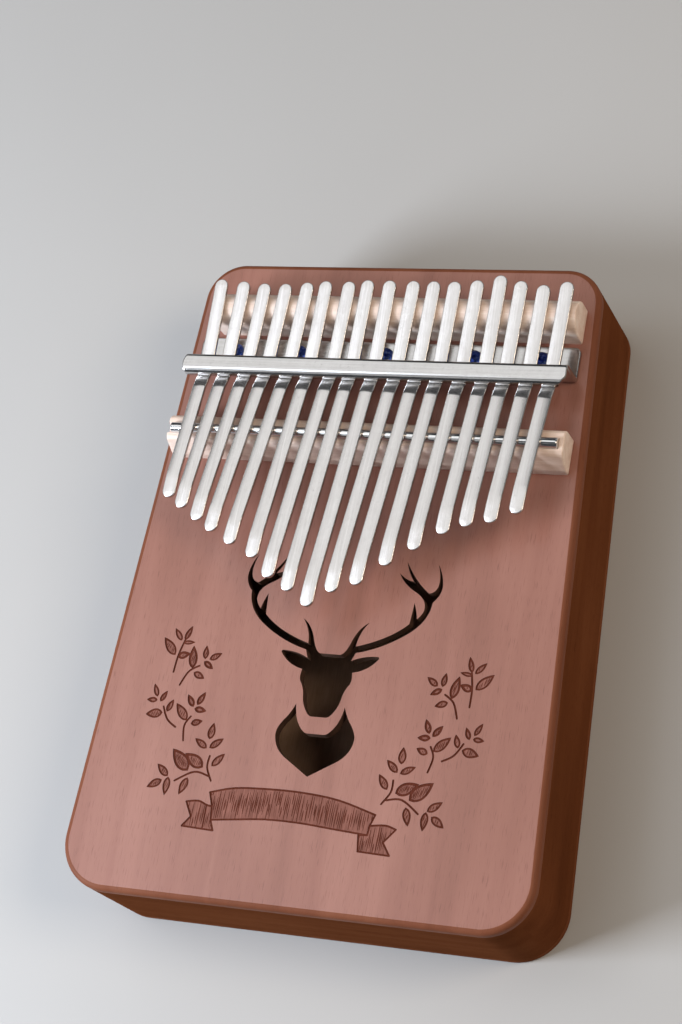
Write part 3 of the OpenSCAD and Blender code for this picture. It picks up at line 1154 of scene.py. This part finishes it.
def pressure_bracket():
    half = SHEET_T / 2
    line = bracket_path()
    window_row = line.index((WEB_Y, WINDOW_LOW))
    path = [Vector(p) for p in line]
    last_row = len(path) - 1
    normals = []
    for i in range(len(path)):
        way = (path[min(i + 1, last_row)] - path[max(i - 1, 0)]).normalized()
        normals.append(Vector((-way.y, way.x)))

    columns = [BRACKET_LO.x, BRACKET_LO.x + END_STEP]
    window_columns = set()
    for name in TINES:
        tip, back = tine_ends(name)
        x = tip.x + (back.x - tip.x) * (WEB_Y - tip.y) / (back.y - tip.y)
        window_columns.add(len(columns))
        columns += [x - TINE_W / 2 - WINDOW_SPACE, x + TINE_W / 2 + WINDOW_SPACE]
    columns += [BRACKET_HI.x - END_STEP, BRACKET_HI.x]
    last_column = len(columns) - 1
    lip_half = (WEB_Y + half - LIP_FRONT) / 2
    left_room = columns[2] - columns[1] - END_STEP

    def end_insets(spot):
        """How far a row's left and right ends are drawn in: the lip's left end is round."""
        if spot.y <= WINDOW_LOW:
            return (corner_inset(BRACKET_HI.y - spot.x, BASE_CORNER_R),) * 2
        off = min(1.0, abs(spot.x - (LIP_FRONT + lip_half)) / lip_half)
        left = LIP_LEFT_END_R * (1 - math.sqrt(1 - off * off))
        if spot.x > LIP_FRONT + lip_half:
            left = min(left, left_room)
        return left, corner_inset(spot.x - (LIP_FRONT + half), LIP_RIGHT_CORNER_R)

    shell = Shell()
    grid = []
    for spot, normal in zip(path, normals):
        left, right = end_insets(spot)
        outer, inner = spot + normal * half, spot - normal * half
        row = []
        for j, x in enumerate(columns):
            if j <= 1:
                x += left
            if j >= last_column - 1:
                x -= right
            row.append(shell.ring([(x, *outer), (x, *inner)]))
        grid.append(row)

    def filled(i, j):
        """Whether the sheet has metal between rows i and i + 1 and columns j and j + 1."""
        if not (0 <= i < last_row and 0 <= j < last_column):
            return False
        return not (i == window_row and j in window_columns)

    for i in range(last_row):
        for j in range(last_column):
            if not filled(i, j):
                continue
            a, b = grid[i][j], grid[i][j + 1]
            c, d = grid[i + 1][j + 1], grid[i + 1][j]
            shell.face((a[0], b[0], c[0], d[0]))
            shell.face((a[1], d[1], c[1], b[1]))
            beside = ((i - 1, j, a, b), (i, j + 1, b, c), (i + 1, j, c, d), (i, j - 1, d, a))
            for row, column, p, q in beside:
                if not filled(row, column):
                    shell.face((p[0], p[1], q[1], q[0]))
    bracket = shell.made("pressure_bracket_metal", (BRACKET_METAL,))
    soften(bracket, 0.22, 2, 50)
    show(bracket, "pressure_bracket")


# ---------------- screws
def screw_mesh():
    """One round-head cross-recess screw, its head's underside at height 0."""
    head_r, head_h, shank_r, length = 3.0, 2.0, 1.5, 16.0
    brim = 0.35
    steps = 40
    profile = [(head_r * rise, brim + (head_h - brim) * fall) for rise, fall in quarter(10, 1)]
    profile += [(head_r, 0.12), (head_r - 0.12, 0), (shank_r, 0)]
    profile += [(shank_r, -length + 3), (0.3, -length + 0.2)]
    shell = Shell()
    rings = [shell.level(circle((0, 0), radius, steps), z) for radius, z in profile]
    shell.loft(rings)
    for ring, z in ((rings[0], head_h), (rings[-1], -length)):
        pole = shell.ring([(0, 0, z)])[0]
        for i in range(steps):
            shell.face((ring[i], ring[(i + 1) % steps], pole))
    screw = shell.made("screw", (ZINC,), 35)
    wide, thin, deep = 1.7, 0.36, 1.15
    bar_across = ((-wide, -thin), (wide, -thin), (wide, thin), (-wide, thin))
    for corners in (bar_across, [(-y, x) for x, y in bar_across]):
        cut = Shell()
        cut.solid([
            cut.level([(x * share, y * share) for x, y in corners], z)
            for z, share in ((head_h + 0.3, 1.0), (head_h - deep, 0.45))
        ])
        cutter = cut.made("cutter", (ZINC,))
        boolean = screw.modifiers.new("recess", "BOOLEAN")
        boolean.operation = "DIFFERENCE"
        boolean.solver = "EXACT"
        boolean.object = cutter
        apply_modifiers(screw)
        bpy.data.objects.remove(cutter)
    mesh = screw.data
    bpy.data.objects.remove(screw)
    return mesh


def bracket_screws():
    one = screw_mesh()
    joined = bmesh.new()
    seat = BRACKET_LO.z + SHEET_T
    for x, turn in zip(SCREW_X, SCREW_TURNS):
        copy = one.copy()
        place = Matrix.Translation(Vector((x, SCREW_Y, seat)) * MM)
        copy.transform(place @ Matrix.Rotation(math.radians(turn), 4, "Z"))
        joined.from_mesh(copy)
        bpy.data.meshes.remove(copy)
    mesh = bpy.data.meshes.new("bracket_screws_zinc")
    joined.to_mesh(mesh)
    joined.free()
    mesh.materials.append(ZINC)
    screws = placed("bracket_screws_zinc", mesh, 35)
    show(screws, "bracket_screws")


# ---------------- studio
def floor():
    """A pale floor at the height of the box's back."""
    paint = Paint("floor", roughness=0.6)
    clouds = paint.noise((0.004, 0.004, 0.004), 3.0, 0.5)
    paint.colour(paint.ramp(clouds, ((0.3, (0.45, 0.44, 0.425)), (0.7, (0.48, 0.47, 0.455)))))
    shell = Shell()
    reach = 4000.0
    corners = ((-reach, -reach), (reach, -reach), (reach, reach), (-reach, reach))
    shell.face(shell.level(corners, 0))
    ground = shell.made("floor", (paint.material,))


def lamp(name, place, target, size, power, colour=(1.0, 1.0, 1.0)):
    """A soft rectangular lamp that shines at a target. Places and sizes are in metres."""
    light = bpy.data.lights.new(name, "AREA")
    light.shape = "RECTANGLE"
    light.size, light.size_y = size
    light.energy = power
    light.color = colour
    obj = bpy.data.objects.new(name, light)
    obj.location = place
    way = Vector(target) - Vector(place)
    obj.rotation_euler = way.to_track_quat("-Z", "Y").to_euler()
    obj.visible_camera = False
    bpy.context.scene.collection.objects.link(obj)


def studio():
    world = bpy.data.worlds.new("studio")
    world.use_nodes = True
    sky = world.node_tree.nodes["Background"]
    sky.inputs["Color"].default_value = (0.90, 0.94, 1.0, 1.0)
    sky.inputs["Strength"].default_value = 0.06
    bpy.context.scene.world = world
    lamp("overhead softbox", (-0.40, 0.26, 0.98), (0, 0, 0.03), (0.85, 0.86), 2.65)
    lamp("sheen", (-0.48, -0.02, 0.95), (0, -0.05, 0.03), (0.40, 0.24), 0.80, (0.88, 0.98, 1.15))
    lamp("key", (-0.56, -0.30, 0.42), (0, -0.02, 0.04), (0.26, 0.26), 6.6, (0.92, 1.0, 1.12))
    lamp("front strip", (-0.40, -0.52, 0.86), (0, 0, 0.04), (0.6, 0.42), 0.40)
    lamp("left panel", (-0.95, 0.32, 0.22), (0, 0, 0.04), (0.7, 0.30), 0.45)
    lamp("back panel", (0.36, 1.05, 0.50), (0, 0, 0.04), (0.85, 0.7), 0.9)
    lamp("right fill", (0.72, 0.04, 0.76), (0, 0, 0.03), (0.4, 0.4), 4.8, (1.0, 0.85, 0.68))
    bpy.context.scene.view_settings.view_transform = "Standard"


def camera():
    """The photograph's viewpoint, fitted to the box's corners."""
    data = bpy.data.cameras.new("camera")
    data.lens = 89.28
    data.clip_start = 0.01
    obj = bpy.data.objects.new("camera", data)
    across = Vector((0.92495, 0.17840, -0.33563))
    up = Vector((-0.05024, 0.93265, 0.35728))
    back = Vector((0.37676, -0.31360, 0.87161))
    turn = Matrix((across, up, back)).transposed().to_4x4()
    obj.matrix_world = Matrix.Translation(Vector((256.5, -199.24, 639.23)) * MM) @ turn
    bpy.context.scene.collection.objects.link(obj)
    bpy.context.scene.camera = obj


camera()
soundboard()
side_rim()
back_plate()
rear_bridge()
front_bridge()
saddle_rod()
for tine_name in TINES:
    tine(tine_name)
pressure_bracket()
bracket_screws()
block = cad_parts["anchor_block"]
block.data.materials.clear()
block.data.materials.append(MAPLE)
floor()
studio()
